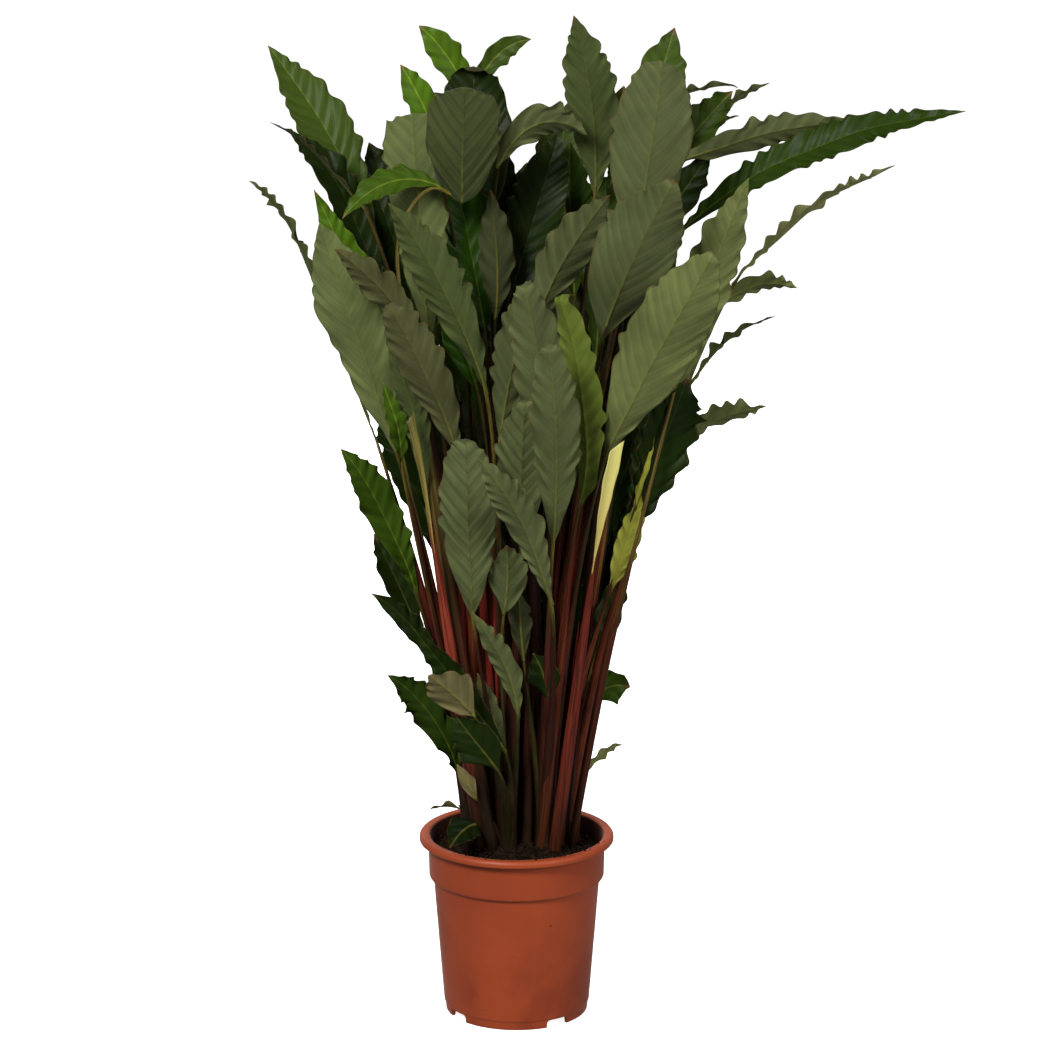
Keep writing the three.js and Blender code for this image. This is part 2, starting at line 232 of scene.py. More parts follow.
FLOOR_REACH, WALL_RADIUS, WALL_HEIGHT, WALL_SIDES = 30000, 28000, 20000, 48
floor_finish = Finish(
    "pale_floor", Roughness=0.9, Base_Color=(0.9, 0.9, 0.9), Emission_Color=(1.0, 1.0, 1.0),
    Emission_Strength=0.84,
)
floor_points = np.array([[-1, -1, 0], [1, -1, 0], [1, 1, 0], [-1, 1, 0]]) * FLOOR_REACH
floor = make_mesh("floor", [floor_finish], floor_points, [np.array([[0, 1, 2, 3]])])
wall_points = ring(WALL_RADIUS, full_turn(WALL_SIDES), [[0], [WALL_HEIGHT]]).reshape(-1, 3)
wall = make_mesh("backdrop", [floor_finish], wall_points, [grid_quads(2, WALL_SIDES, around=True)])
wall.visible_shadow = False
for stage_piece in (floor, wall):
    stage_piece.visible_diffuse = False
    stage_piece.visible_glossy = False

world = bpy.data.worlds.new("studio")
scene.world = world
world.use_nodes = True
sky = world.node_tree.nodes["Background"].inputs
sky["Color"].default_value = (1, 1, 1, 1)
sky["Strength"].default_value = 0.24

# Each light's place, size and power, and whether the leaves shine with it. All look at the plant.
PLANT_MIDDLE = np.array([0, 0, 0.5])
for name, place, size, power, shines in (
    ("key_light", (-1.3, -2.5, 2.5), 0.9, 104, True),
    ("side_light", (2.2, -2.2, 1.5), 1.1, 40, True),
    ("back_light", (0.4, 2.6, 2.6), 1.4, 40, False),
    ("rear_light", (-0.8, 2.9, 1.1), 1.4, 60, False),
):
    lamp = bpy.data.lights.new(name, "AREA")
    lamp.size, lamp.energy = size, power
    light = bpy.data.objects.new(name, lamp)
    light.location = place
    across, along, up = PLANT_MIDDLE - place
    tip_up, swing = np.arctan2(np.hypot(across, along), -up), np.arctan2(along, across) - np.pi / 2
    light.rotation_euler = (tip_up, 0, swing)
    light.visible_glossy = shines
    scene.collection.objects.link(light)

# Pot
# A nursery pot moulded in one piece from terracotta-coloured plastic: a rolled lip, a straight neck,
# a small step, a tapered wall, and a raised floor with drains inside a foot ring cut into four feet.
pot_finish = Finish(
    "terracotta_plastic", Specular_IOR_Level=0.35, Sheen_Weight=0.22, Sheen_Roughness=0.25,
    Sheen_Tint=(1.0, 0.72, 0.6),
)
spot = pot_finish.place()
blotch = pot_finish.noise(spot, 14, detail=4)
grain = pot_finish.noise(spot, 900, detail=2)
height = spot.parts()[2]
clay = pot_finish.mixed(blotch.step(0.3, 0.7), linear(164, 70, 34), linear(152, 63, 31))
dust = pot_finish.noise(pot_finish.stretched(spot, (1, 1, 0.35)), 38, detail=6, roughness=0.65)
dusty = dust.step(0.6, 0.85) * (1 - height.step(0.01, 0.16)) * 0.25
clay = pot_finish.mixed(dusty, clay, linear(166, 98, 66))
scuff = pot_finish.noise(pot_finish.stretched(spot, (1, 1, 3)), 75, detail=3, roughness=0.6)
scuffed = scuff.step(0.66, 0.74) * 0.5
clay = pot_finish.mixed(scuffed * (1 - height.step(0.02, 0.13)), clay, linear(112, 46, 26))
across, along, _ = spot.parts()
soaked = blotch.step(0.5, 0.62) * (1 - height.step(0.03, 0.1)) * 0.3
clay = pot_finish.mixed(soaked, clay, linear(118, 40, 20))
fleck = 1 - ((across - 0.033) ** 2 + (height - 0.108) ** 2).step(0.0000004, 0.0000012)
clay = pot_finish.mixed(fleck * (1 - along.step(-0.01, 0)), clay, linear(70, 30, 16))
# Painted shade: the inner wall above the peat is darkened where it lies in shadow
from_axis = (across * across + along * along) ** 0.5
inner_wall_shade = (1 - from_axis.step(0.0846, 0.0858)) * height.step(0.1375, 0.139)
clay = pot_finish.mixed(inner_wall_shade * 0.92, clay, linear(40, 23, 14))
pot_finish.vary("Base Color", clay)
pot_finish.vary("Roughness", blotch * 0.16 + dusty * 0.5 + 0.36)
pot_finish.relief(grain * 0.5 + blotch * 0.5, 0.00012)

POT_SIDES = 240
FOOT_GAP_ANGLE = 35
DRAIN_CIRCLE = 46

# Radius, height and the length of the rounding at each corner, from under the middle, up the outside
# and down the inside
pot_outline = [
    (18, 0, 1), (19.5, 8, 1), (64.7, 8, 1.5), (66.2, 0, 0.6), (69.6, 0, 0.8), (70.5, 8, 1),
    (71.4, 9.4, 1), (81.2, 134, 1.5), (82.2, 136.1, 1), (85.0, 137, 0.8), (85.6, 138.4, 0.6),
    (86.4, 173, 0.4), (94.2, 173, 0.8), (95, 173.8, 0.5), (95, 177.6, 1.4), (93.2, 179.7, 0.8),
    (91, 180, 1.5), (86.1, 179.6, 1), (84.6, 178, 1), (83.8, 138.4, 1), (79.4, 134, 1.5),
    (69.6, 12, 1.5),
]


def bend(start, handle, end, t):
    """A quadratic Bezier curve: (1 - t)^2 start + 2 t (1 - t) handle + t^2 end."""
    return (1 - t) ** 2 * start + 2 * t * (1 - t) * handle + t**2 * end


def rounded(outline, steps=4):
    """The outline with a small bend for each corner, from the rounding's length before it to the same
    length after it, no more than 0.45 of a side."""
    corner = np.array([row[:2] for row in outline], float)
    size = np.array([row[2] for row in outline], float)[:, None]
    before = np.roll(corner, 1, axis=0) - corner
    after = np.roll(corner, -1, axis=0) - corner
    before_length = np.linalg.norm(before, axis=1, keepdims=True)
    after_length = np.linalg.norm(after, axis=1, keepdims=True)
    start = corner + before * np.minimum(size / before_length, 0.45)
    end = corner + after * np.minimum(size / after_length, 0.45)
    t = np.linspace(0, 1, steps)[None, :, None]
    return bend(start[:, None], corner[:, None], end[:, None], t).reshape(-1, 2)


# The outline's two open ends keep their corners
profile = rounded(pot_outline)
profile[0], profile[-1] = (18, 0), (69.6, 12)
rings = len(profile)
wall_points = ring(profile[:, :1], full_turn(POT_SIDES), profile[:, 1:])
pot_points = np.concatenate([wall_points.reshape(-1, 3), [[0, 0, 0], [0, 0, 10.8]]])
around = np.arange(POT_SIDES)
beside = (around + 1) % POT_SIDES
under_middle, over_middle, last_ring = rings * POT_SIDES, rings * POT_SIDES + 1, (rings - 1) * POT_SIDES
pot_faces = [
    grid_quads(rings, POT_SIDES, around=True),
    np.stack([around * 0 + under_middle, beside, around], axis=-1),
    np.stack([around * 0 + over_middle, around + last_ring, beside + last_ring], axis=-1),
]
pot = make_mesh("pot_shell", [pot_finish], pot_points, pot_faces)


def prism(outline, start, end, first, second):
    """A closed bar along a straight line from start to end, whose outline is measured on two
    directions across it."""
    section = outline[:, :1] * np.array(first) + outline[:, 1:] * np.array(second)
    points = np.concatenate([section + start, section + end])
    count = len(outline)
    sides = grid_quads(2, count, around=True)
    caps = np.stack([np.arange(count)[::-1], np.arange(count) + count])
    return points, [sides, caps], {}


def joined(parts):
    """Several meshes as one: the points and marks end to end, and each corner number raised by the
    count of the points before it."""
    points = np.concatenate([part[0] for part in parts])
    starts = np.cumsum([0] + [len(part[0]) for part in parts[:-1]])
    faces = [
        np.concatenate([part[1][kind] + start for part, start in zip(parts, starts)])
        for kind in range(len(parts[0][1]))
    ]
    marks = {name: np.concatenate([part[2][name] for part in parts]) for name in parts[0][2]}
    return points, faces, marks


# The cutters of the gaps between the feet, and of the drains in the floor
GAP_SIZE = (12, 8)
DRAIN_RADIUS = 5
circle = ring(1, full_turn(40))[:, :2]
gap_outline = np.sign(circle) * np.abs(circle) ** 0.3 * GAP_SIZE
drain_outline = DRAIN_RADIUS * circle
bars = []
for foot in range(4):
    gap_turn = np.radians(FOOT_GAP_ANGLE + 90 * foot)
    outward, drain = ring(1, gap_turn), ring(DRAIN_CIRCLE, gap_turn + np.pi / 4)
    sideways = (-outward[1], outward[0], 0)
    bars += [
        prism(gap_outline, outward * 60, outward * 80, sideways, (0, 0, 1)),
        prism(drain_outline, drain + [0, 0, 5], drain + [0, 0, 16], (1, 0, 0), (0, 1, 0)),
    ]
cutter = make_mesh("pot_cutter", [], *joined(bars))
cut = pot.modifiers.new("gaps_and_drains", "BOOLEAN")
cut.object = cutter
cut.operation = "DIFFERENCE"
cut.solver = "EXACT"
cut_mesh = bpy.data.meshes.new_from_object(pot.evaluated_get(bpy.context.evaluated_depsgraph_get()))
pot.modifiers.clear()
pot.data = cut_mesh
bpy.data.objects.remove(cutter)
pot.data.set_sharp_from_angle(angle=np.radians(50))
stand_in(pot, "pot", "pot")

# Peat
# Dark crumbly peat fills the pot to a finger below its lip and is heaped into a low mound round the
# crowns. Loose crumbs lie on it, and a few on the lip.
peat_finish = Finish("peat", Roughness=0.95, Specular_IOR_Level=0.08)
spot = peat_finish.place()
lumps = peat_finish.noise(spot, 160, detail=6, roughness=0.7)
fibres = peat_finish.noise(peat_finish.stretched(spot, (1, 0.25, 1)), 420, detail=3)
earth = peat_finish.ramp(
    lumps, (0.3, linear(8, 5, 3)), (0.5, linear(28, 18, 11)), (0.75, linear(58, 39, 25))
)
earth = peat_finish.mixed(fibres.step(0.66, 0.74) * 0.6, earth, linear(96, 70, 46))
peat_finish.vary("Base Color", earth)
peat_finish.relief(lumps, 0.0016)


def ripples(points, draw, finest, coarsest, count=60):
    """A rough height between about -1 and 1: the mean of many cosine waves that run in drawn
    directions, with lengths between the finest and the coarsest."""
    heading = draw.uniform(0, 2 * np.pi, count)
    number = 2 * np.pi / np.exp(draw.uniform(np.log(finest), np.log(coarsest), count))
    phase = draw.uniform(0, 2 * np.pi, count)
    across = points[..., :1] * np.cos(heading) + points[..., 1:2] * np.sin(heading)
    return np.cos(across * number + phase).sum(axis=-1) / np.sqrt(count)


PEAT_SIDES = 220
PEAT_EDGE = 163.0
PEAT_TOP = 174.0


def peat_height(points):
    """The peat's height over a point: a mound as high as a smooth step of the distance from the
    middle, and crumbly ripples that die out at the pot's wall."""
    distance = np.hypot(points[..., 0], points[..., 1])
    rise = np.clip((74 - distance) / 46, 0, 1)
    calm = np.clip((84 - distance) / 6, 0, 1)
    mound = PEAT_EDGE + (PEAT_TOP - PEAT_EDGE) * rise**2 * (3 - 2 * rise)
    lumpy = ripples(points, np.random.default_rng(5), 4, 24)
    return mound + calm * (0.6 + 1.6 * lumpy)


peat_turn = full_turn(PEAT_SIDES)
top_skin = ring(np.concatenate([[0.02], np.linspace(1, 83.6, 84)])[:, None], peat_turn)
top_skin[..., 2] = peat_height(top_skin)
# Radius and height down the outside, to a little over the pot's floor
side_profile = np.array([(83.5, 150), (82.9, 140), (79.0, 134), (69.2, 13), (0.02, 12)])
side_skin = ring(side_profile[:, :1], peat_turn, side_profile[:, 1:])
peat_skin = np.concatenate([top_skin, side_skin])
peat_rows = len(peat_skin)
peat_quads = grid_quads(peat_rows, PEAT_SIDES, around=True)[:, ::-1]
peat_ends = np.stack([np.arange(PEAT_SIDES), np.arange(PEAT_SIDES)[::-1] + (peat_rows - 1) * PEAT_SIDES])
peat = make_mesh("peat_body", [peat_finish], peat_skin.reshape(-1, 3), [peat_quads, peat_ends])
stand_in(peat, "peat", "soil")


def many_lumps(places, sizes, draw):
    """Rough little lumps of 24 faces: each is a small ball of 4 rings and 6 sides, squashed and made
    uneven by drawn factors."""
    count = len(places)
    polar = np.linspace(0, np.pi, 5)
    ball = ring(np.sin(polar)[:, None], full_turn(6), np.cos(polar)[:, None])
    middle = ball[1:4].reshape(-1, 3)
    shape = np.concatenate([ball[:1, 0], middle, ball[4:, 0]])
    uneven = draw.uniform(0.65, 1.2, (count, len(shape), 1)) * draw.uniform(0.55, 1.2, (count, 1, 3))
    points = shape[None] * uneven * sizes[:, None, None] + places[:, None]
    here, there = np.arange(6), (np.arange(6) + 1) % 6
    top = np.stack([here * 0, here + 1, there + 1], axis=-1)
    bottom = np.stack([here * 0 + 19, there + 13, here + 13], axis=-1)
    belt = grid_quads(3, 6, around=True)[:, ::-1] + 1
    shift = (np.arange(count) * len(shape))[:, None, None]
    faces = [(part[None] + shift).reshape(-1, part.shape[1]) for part in (top, bottom, belt)]
    return points.reshape(-1, 3), faces


CRUMBS, LIP_CRUMBS = 2200, 46
draw = np.random.default_rng(11)
crumb_reach = 83 * np.sqrt(draw.uniform(0, 1, CRUMBS))
crumb_places = ring(crumb_reach, draw.uniform(0, 2 * np.pi, CRUMBS))
crumb_size = np.exp(draw.normal(0.1, 0.45, CRUMBS)).clip(0.4, 3.2)
crumb_places *= np.minimum(1, (82.5 - crumb_size) / np.maximum(crumb_reach, 1))[:, None]
crumb_places[:, 2] = peat_height(crumb_places) + 0.35 * crumb_size
lip_turn = np.radians(draw.uniform(-150, -20, LIP_CRUMBS))
lip_places = ring(draw.uniform(85.5, 91, LIP_CRUMBS), lip_turn, 180.2)
crumb_places = np.concatenate([crumb_places, lip_places])
crumb_size = np.concatenate([crumb_size, draw.uniform(0.3, 1.0, LIP_CRUMBS)])
crumbs = make_mesh("peat_crumbs", [peat_finish], *many_lumps(crumb_places, crumb_size, draw))
stand_in(crumbs, "peat", "soil")

# Leaves as they grow
# Each leaf is one blade on one stalk, which grows out of the peat from one of six crowns. Large
# leaves make the plant's outline, and small ones stand low down and between them.

# A line gives a leaf's crown, the points where its blade starts, bows and ends, its width, the angle
# round the pot that its upper face looks to, its colour and its stalk's, and where they aren't 0, the
# angle by which that face is tilted to the sky and the angle of its twist.
Leaf = namedtuple("Leaf", "crown base middle tip width facing tint stalk tilt twist")


def leaf_rows(table):
    """The leaves of a table, one from each line."""
    leaves = []
    for line in table.strip().splitlines():
        words = line.split()
        crown, *places, width, facing = map(int, words[:12])
        points = np.array(places, float).reshape(3, 3)
        tilt, twist = (*map(int, words[14:]), 0, 0)[:2]
        leaves.append(Leaf(crown, *points, width, facing, *words[12:14], tilt, twist))
    return leaves


large_leaves = leaf_rows("""
5  -135 60 760  -180 95 850  -239 120 934  52 -65  mid red
5  -139 25 785  -182 25 835  -231 15 874  16 20  dusky red  40
5  -116 30 653  -160 45 790  -218 52 862  36 -60  dusky red  0 50
1  -130 -10 564  -197 -15 746  -250 -5 821  26 14  deep red
1  -111 -45 564  -150 -80 695  -179 -110 798  64 75  fresh rust
1  -109 -5 558  -142 0 690  -189 -15 814  44 -75  bright green
1  -93 -15 415  -128 -25 508  -166 -35 571  38 -60  fresh rust
1  -54 -24 240  -83 -36 310  -123 -44 351  36 -60  deep rust
1  -80 -80 664  -120 -112 733  -164 -138 778  32 80  bronze red
1  -52 -75 569  -84 -110 659  -124 -130 737  46 80  bronze rust
1  -85 -60 527  -95 -82 614  -120 -95 690  27 80  deep cream
2  -64 -36 815  -114 -57 829  -160 -75 796  28 -90  fresh red  40
5  -82 -20 669  -93 -25 824  -100 10 912  62 85  fresh red
5  -72 62 845  -90 66 886  -110 66 922  29 -80  bright red
5  -36 88 872  -64 90 924  -93 92 956  31 -80  bright red
2  -36 20 770  -40 46 848  -40 66 936  72 -90  dusky red
2  -50 -42 806  -49 -60 866  -46 -66 938  70 90  moss straw
2  -27 -45 625  -67 -70 729  -117 -90 813  46 80  deep straw
2  -29 -5 674  -44 5 759  -61 22 832  62 -85  vivid red
5  -40 12 585  -56 20 666  -75 25 734  40 -85  deep red
3  -18 -25 836  18 -32 878  66 -42 869  40 90  mid brown  30
3  -17 15 671  15 30 774  41 50 862  56 -95  dusky green
6  74 10 801  71 -10 890  53 -40 979  50 85  deep red
3  13 -25 678  46 -40 754  87 -55 815  48 100  mid brown
2  -16 -35 579  -2 -55 660  16 -73 747  42 90  mid straw
3  58 -78 521  63 -102 625  31 -126 756  38 60  young rust
3  34 -95 491  37 -135 600  27 -171 714  46 90  mid green
3  32 -42 520  25 -72 637  2 -103 759  50 90  mid brown
2  4 -55 482  5 -78 555  9 -99 641  50 90  mid green
2  -41 -95 422  -44 -122 520  -47 -130 626  54 90  mid green
3  34 -110 438  4 -155 529  -34 -182 594  36 80  mid green
2  -9 -65 281  -51 -90 348  -95 -110 414  28 -90  dusky olive
2  2 -75 318  -10 -98 373  -41 -118 433  24 80  mid olive
4  110 -60 772  123 -80 860  135 -80 962  76 95  mid brown
6  117 25 808  132 45 891  150 65 957  50 -95  mid red
3  80 -65 681  106 -100 760  145 -133 843  78 95  mid red
3  83 -85 576  131 -130 684  181 -169 785  74 95  pale green
4  143 -36 596  176 -52 725  214 -70 833  48 95  pale tawny
4  112 -48 492  138 -56 580  160 -54 643  60 -65  dusky rust
4  204 5 721  273 0 789  355 -5 836  34 90  tan green  75
4  148 25 760  264 15 843  420 0 886  38 -90  deep green  40
6  144 50 827  224 48 855  316 45 873  32 90  mid cream  20
6  138 80 810  173 85 857  207 90 894  36 -90  mid red  20
6  133 50 758  156 60 796  186 65 838  34 -95  dusky red
4  180 20 690  226 15 717  266 10 717  28 100  pale brown  40
4  140 -15 557  187 -25 595  236 -35 612  30 120  pale brown  30
4  104 45 438  123 58 537  141 64 624  42 -95  deep red
5  -60 110 640  -85 165 750  -110 235 830  64 -90  deep red
5  0 120 600  5 190 720  10 270 800  68 -90  deep red
6  70 110 620  95 170 740  120 240 820  64 -100  deep red
5  -100 90 560  -135 130 660  -170 170 740  56 -70  deep red
6  112 90 540  138 130 630  156 170 710  56 -110  deep red
""")
small_leaves = leaf_rows("""
5  -87 20 360  -114 26 420  -138 32 472  32 -60  dusky rust
1  -62 -36 338  -98 -40 396  -138 -44 432  21 -60  dusky olive
5  -47 112 880  -19 114 925  14 112 941  23 -90  mid rust
6  56 55 697  52 62 774  51 72 849  48 -90  deep rust
6  92 80 810  96 85 857  103 90 899  40 -90  deep rust
6  121 64 884  175 54 901  210 48 902  14 90  mid rust  70
6  177 105 835  208 105 880  243 105 900  16 90  mid rust  60
6  160 100 828  188 100 854  214 100 869  16 90  mid rust  60
4  156 10 611  201 10 665  246 10 690  18 90  deep rust  70
4  117 -20 677  131 -22 715  150 -24 749  26 -95  deep cream
2  -12 -85 422  -8 -103 460  -9 -118 497  38 90  mid olive
2  -39 -100 326  -60 -116 353  -82 -128 375  42 80  beige olive
2  -16 -85 267  -36 -95 297  -58 -98 328  42 -90  dusky olive
1  -49 -10 206  -67 -15 212  -86 -20 208  12 90  beige rust  60
1  -35 -30 197  -50 -48 198  -64 -68 186  30 -90  night rust  30
4  65 15 236  82 15 252  104 15 264  14 90  tan green  50
4  68 25 300  90 28 319  111 30 318  34 -90  fresh green
4  72 -20 350  88 -10 399  106 0 452  26 -100  dusky rust
3  89 -46 434  103 -58 480  118 -62 532  24 70  lime rust
3  112 -60 520  119 -62 552  130 -62 592  9 60  lime rust
6  39 25 268  31 32 310  16 40 348  34 -90  deep rust
3  7 -60 369  4 -66 407  2 -70 442  22 90  dusky olive
2  -10 -50 273  -23 -58 316  -37 -64 359  18 90  mid green
2  -36 -36 626  -52 -44 676  -70 -48 728  34 -75  vivid straw
1  -107 -64 560  -111 -80 600  -123 -94 646  20 -60  fresh straw
3  30 -52 328  27 -58 352  16 -62 378  30 -90  dusky green
2  -38 -44 226  -46 -50 244  -57 -50 264  14 90  beige rust
5  -25 90 300  -35 130 380  -45 165 440  38 -90  mid rust
5  -30 140 480  -45 190 570  -60 250 630  50 -90  mid rust
6  45 85 250  52 125 320  58 160 370  34 -90  mid rust
6  50 130 460  70 185 560  90 245 620  50 -95  mid rust
5  -75 75 430  -105 112 520  -135 140 585  48 -75  dusky rust
6  85 80 400  112 118 490  138 145 555  46 -105  dusky rust
5  -2 100 370  -6 152 460  -10 195 520  50 -90  dusky rust
6  32 100 690  40 140 795  50 178 870  56 -90  mid rust
5  -48 112 700  -58 150 800  -70 185 880  56 -85  mid rust
5  -98 85 692  -122 108 780  -143 124 840  46 -80  dusky rust
5  -5 60 640  -5 85 740  3 110 815  52 -90  deep rust
6  75 20 640  82 30 740  85 40 815  46 -90  deep rust
""")
# Leaves deep inside the plant, which fill it with dark green behind the outer ones. Most take the darker
# leaf tints, which partly paint the shade they lie in.
small_leaves += leaf_rows("""
5  -75 55 600  -108 72 720  -142 85 815  50 -80  dusky brown
5  -15 75 640  -14 85 740  -8 85 828  52 -90  dusky brown
3  40 50 520  46 60 640  52 65 740  46 90  dusky brown
1  -52 50 430  -66 58 540  -82 62 640  50 90  dusky brown
4  80 40 400  88 50 500  98 52 600  44 -90  dusky brown
4  60 30 330  68 42 430  74 48 520  40 -90  dusky brown
2  -30 45 400  -34 58 520  -36 64 640  54 90  dusky brown
5  -85 60 480  -108 66 580  -126 72 665  46 -70  dusky brown
6  10 40 330  8 55 440  6 60 540  52 -90  dusky brown
6  -5 50 520  0 60 630  6 66 740  56 90  dusky brown
6  85 50 600  100 62 700  112 70 800  52 -100  dusky brown
6  60 60 560  66 75 680  70 82 780  52 -90  deep brown
5  -60 60 620  -72 72 740  -84 80 840  52 -80  deep brown
2  -15 30 220  -18 40 300  -20 46 370  40 -90  dusky brown
3  20 20 230  26 28 310  30 34 380  40 -90  dusky brown
1  -45 25 240  -58 32 320  -68 38 390  40 -70  dusky brown
4  45 30 300  56 38 380  62 44 450  40 -110  dusky brown
4  64 16 320  80 26 400  92 32 480  34 -100  dusky brown
5  -30 40 380  -42 52 470  -50 60 560  48 -80  dusky brown
2  -24 -4 610  -24 6 670  -27 12 735  42 -90  night brown
2  -24 36 720  -18 42 790  -10 46 846  40 -90  dusky brown
2  -20 -12 690  -18 -14 745  -24 -18 815  34 95  dusky brown
4  92 30 500  102 36 580  108 40 650  34 -90  dusky brown
3  26 30 345  28 36 420  30 42 500  36 -90  night brown
3  2 12 205  2 16 300  4 22 400  34 -90  night brown
2  -6 14 420  -8 20 510  -10 26 600  40 -90  night brown
""")
# Where along its blade a large leaf's tip starts to curl over to its upper side, the curl's radius in
# millimetres, and its angle
curled_tips = {
    10: (0.86, 8, 110), 13: (0.84, 10, 150), 16: (0.85, 9, 130), 17: (0.78, 8, 150),
    25: (0.89, 6, 100), 26: (0.86, 6, 120), 27: (0.87, 7, 120), 28: (0.87, 7, 120),
    29: (0.86, 7, 130), 30: (0.8, 11, 150), 34: (0.84, 9, 140), 36: (0.93, 6, 100),
    37: (0.93, 6, 100),
}
# The slimness of blades that are fuller at both ends than the others
full_blades = {
    13: 0.65, 16: 0.5, 17: 0.42, 26: 0.65, 27: 0.75, 28: 0.7, 29: 0.75, 30: 0.7, 34: 0.65, 36: 0.7,
    37: 0.75,
}
# The leaves with strong side veins below, and the most ruffled ones
ribbed_leaves = (17, 29, 30)
ruffled_leaves = (8, 39, 43)
# Where the six crowns stand in the peat
crown_places = np.array([(-40, -6), (-8, -26), (27, -18), (46, 12), (-18, 26), (18, 32)], float)

# Stalks
# Each crown is a sheaf of long round stalks that grow out of the peat. Low down they are broad, dark
# and sheathe each other; higher up they are wine-red, and near the blade most turn green.
ROOT_HEIGHT = 165
FOOT_SPREAD = 14
STALK_SIDES = 14
STALK_TURN = full_turn(STALK_SIDES)


def in_light(tints):
    """Named groups of screen colours, in linear light."""
    return {name: [linear(*colour) for colour in colours] for name, colours in tints.items()}


# The colours of a stalk's lower part, of its upper part and of its neck under the blade
stalk_tints = in_light({
    "red": [(132, 42, 28), (52, 44, 18), (98, 84, 34)],
    "rust": [(108, 48, 25), (54, 46, 20), (106, 96, 38)],
    "brown": [(60, 28, 17), (30, 25, 12), (58, 54, 22)],
    "green": [(76, 36, 22), (84, 80, 34), (118, 116, 46)],
    "cream": [(126, 46, 32), (160, 120, 60), (196, 182, 100)],
    "straw": [(84, 44, 24), (104, 92, 40), (140, 130, 46)],
    "tawny": [(96, 46, 26), (112, 96, 44), (136, 124, 56)],
    "olive": [(64, 60, 24), (84, 80, 34), (112, 112, 44)],
    "scarlet": [(150, 62, 42)] * 3,
    "wine": [(112, 42, 28)] * 3,
})
stalk_finish = Finish("stalk_skin", Specular_IOR_Level=0.16)
skin = stalk_finish.mark("skin")
tint = stalk_finish.mark("tint")
from_left, _, height = stalk_finish.place().parts()
streaks = stalk_finish.noise(stalk_finish.stretched(skin, (1.6, 1.6, 7)), 1.7, detail=5, roughness=0.6)
freckles = stalk_finish.noise(stalk_finish.place(), 900, detail=2)
colour = stalk_finish.mixed(streaks.step(0.42, 0.62) * 0.75, tint, linear(34, 17, 10))
# Painted shade: the stalks are darkened towards the peat, where the crowded sheaf lies in shadow
foot_shade = (1 - height.step(0.15, 0.3)) * (streaks * 0.8 + 0.3)
colour = stalk_finish.mixed(foot_shade, colour, linear(38, 28, 13))
# The stalks are darkened low down on the plant's left
left_foot_darkening = (1 - height.step(0.17, 0.4)) * (1 - from_left.step(-0.03, 0.02)) * 0.85
colour = stalk_finish.mixed(left_foot_darkening, colour, linear(24, 19, 9))
stalk_finish.vary("Base Color", colour)
stalk_finish.vary("Roughness", freckles * 0.2 + 0.38)
stalk_finish.relief(streaks * 0.7 + freckles * 0.3, 0.0004)


def bow_of(base, middle, tip):
    """The handle of the plain arc through three points: twice the middle less the mean of the ends."""
    return 2 * middle - (base + tip) / 2


def unit(vectors):
    """Each vector divided by its length."""
    return vectors / np.linalg.norm(vectors, axis=-1, keepdims=True)


def stalk_path(leaf, past, steps):
    """A cubic Bezier curve from the crown to the blade. It leaves the peat steeply, leans out, and
    meets the blade in line with its midrib, to end `past` millimetres beyond the blade's base."""
    crown = crown_places[leaf.crown - 1]
    lean = np.append(leaf.base[:2] - crown, 0)
    distance = np.linalg.norm(lean)
    foot = np.append(crown, ROOT_HEIGHT) + lean / distance * FOOT_SPREAD * distance / (distance + 90)
    outward = unit(bow_of(*leaf[1:4]) - leaf.base)
    top = leaf.base + outward * past
    length = np.linalg.norm(top - foot)
    rise = np.array([0, 0, 0.36 * length]) * 0.8 + (top - foot) * 0.36 * 0.2
    handle = top - outward * min(0.28 * length, 60)
    t = np.linspace(-0.04, 1, steps)[:, None]
    points = (
        (1 - t) ** 3 * foot + 3 * t * (1 - t) ** 2 * (foot + rise)
        + 3 * t**2 * (1 - t) * handle + t**3 * top
    )
    return points, t.clip(0, 1)


# The points that bent stalks pass on their way, by the number of their leaf
stalk_ways = {
    12: [(-14, -24, 160), (-32, -4, 420), (-50, 18, 660), (-58, 10, 770), (-68, -38, 816)],
    21: [(22, -14, 160), (6, 6, 420), (-16, 28, 680), (-26, 10, 790), (-16, -26, 838)],
    17: [(-22, -32, 160), (-52, -44, 360), (-88, -56, 600), (-106, -66, 715), (-111, -70, 760),
         (-106, -68, 792), (-88, -58, 818), (-70, -40, 822), (-50, -38, 806)],
    38: [(52, -8, 160), (82, -34, 350), (106, -62, 459), (118, -68, 510), (136, -68, 585),
         (153, -62, 655), (165, -48, 690)],
}


def smooth_way(way, steps):
    """A curve along a way: at each corner a bend from the middle of the side before it to the middle of
    the side after it."""
    corner = np.array(way, float)
    start = (corner[:-2] + corner[1:-1]) / 2
    end = (corner[1:-1] + corner[2:]) / 2
    start[0], end[-1] = corner[0], corner[-1]
    walk = np.linspace(0, len(start), steps)
    at = walk.astype(int).clip(0, len(start) - 1)
    t = (walk - at)[:, None]
    return bend(start[at], corner[1:-1][at], end[at], t), np.linspace(0, 1, steps)[:, None]


def tube(rings, place, reach, tints):
    """A closed tube through rings of points. Its mark `skin`, which its streaks follow, is an upright
    tube of radius 1, as high as its reach, at a place that no other stalk has."""
    skin = ring(1, STALK_TURN, reach) + [*place, 0]
    foot = np.arange(STALK_SIDES)
    ends = np.stack([foot[::-1], foot + (len(rings) - 1) * STALK_SIDES])
    marks = {"skin": skin.reshape(-1, 3), "tint": np.broadcast_to(tints, rings.shape).reshape(-1, 3)}
    return rings.reshape(-1, 3), [grid_quads(len(rings), STALK_SIDES, around=True), ends], marks


